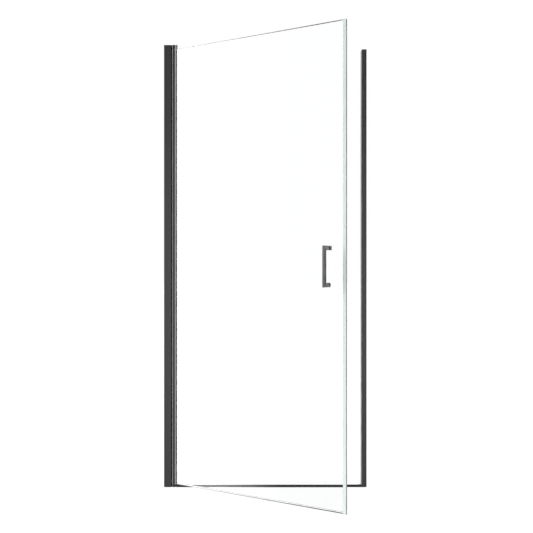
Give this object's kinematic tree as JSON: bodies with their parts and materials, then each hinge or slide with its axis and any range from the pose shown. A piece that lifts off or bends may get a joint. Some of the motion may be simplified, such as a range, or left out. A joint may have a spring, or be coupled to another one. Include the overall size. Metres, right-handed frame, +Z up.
{
  "type": "shower door",
  "caption": "Pivot shower door for a niche: clear glass pane in a black barrel hinge profile, with wall channels, jambs, floor threshold, magnetic seals and a flat-bar pull handle.",
  "frame": {"origin": "on the hinge-side wall face, at floor level and at mid-depth of the frame", "axes": "+X along the closed door towards the strike side, +Y into the shower, +Z up"},
  "size_m": [0.8935, 0.4337, 1.95],
  "materials": {
    "black_aluminium": "satin",
    "black_plastic": "satin",
    "black_rubber": "matte",
    "clear_glass": "polished",
    "clear_pvc": "satin",
    "magnet": "matte",
    "nylon": "satin",
    "steel": "satin",
    "handle_metal": "satin"
  },
  "bodies": {
    "frame": {"hinge_wall_channel": "black_aluminium", "hinge_jamb": "black_aluminium", "barrel_wiper_seal": "black_rubber", "top_pivot_block": "black_plastic", "hinge_top_cover": "black_plastic", "bottom_pivot_block": "black_plastic", "top_pivot_bush": "black_plastic", "bottom_pivot_bush": "black_plastic", "pivot_block_screws": "steel", "hinge_jamb_screws": "steel", "hinge_screw_caps": "black_plastic", "strike_wall_channel": "black_aluminium", "strike_jamb": "black_aluminium", "strike_seal_strip": "clear_pvc", "strike_magnet": "magnet", "strike_top_cap": "black_plastic", "strike_jamb_screws": "steel", "strike_screw_caps": "black_plastic", "threshold_bar": "black_aluminium", "threshold_end_cap_hinge": "black_plastic", "threshold_end_cap_strike": "black_plastic"},
    "door": {"door_hinge_profile": "black_aluminium", "profile_top_cap": "black_plastic", "glass_gasket": "black_rubber", "door_glass": "clear_glass", "top_pivot_pin": "steel", "bottom_pivot_pin": "steel", "closing_seal": "clear_pvc", "closing_magnet": "magnet", "drip_seal": "clear_pvc", "handle_bar": "handle_metal", "handle_post_top": "handle_metal", "handle_post_bottom": "handle_metal", "handle_collars": "handle_metal", "handle_outer_washers": "clear_pvc", "handle_inner_washer": "clear_pvc", "handle_sleeves": "nylon", "handle_bolts": "steel", "handle_inner_knob": "handle_metal"}
  },
  "joints": [
    {"name": "door_hinge", "type": "hinge", "parent": "frame", "child": "door", "pos_m": [0.0423, 0, 0], "axis": [0, 0, -1], "range_deg": [-29.3, 60.7]}
  ]
}
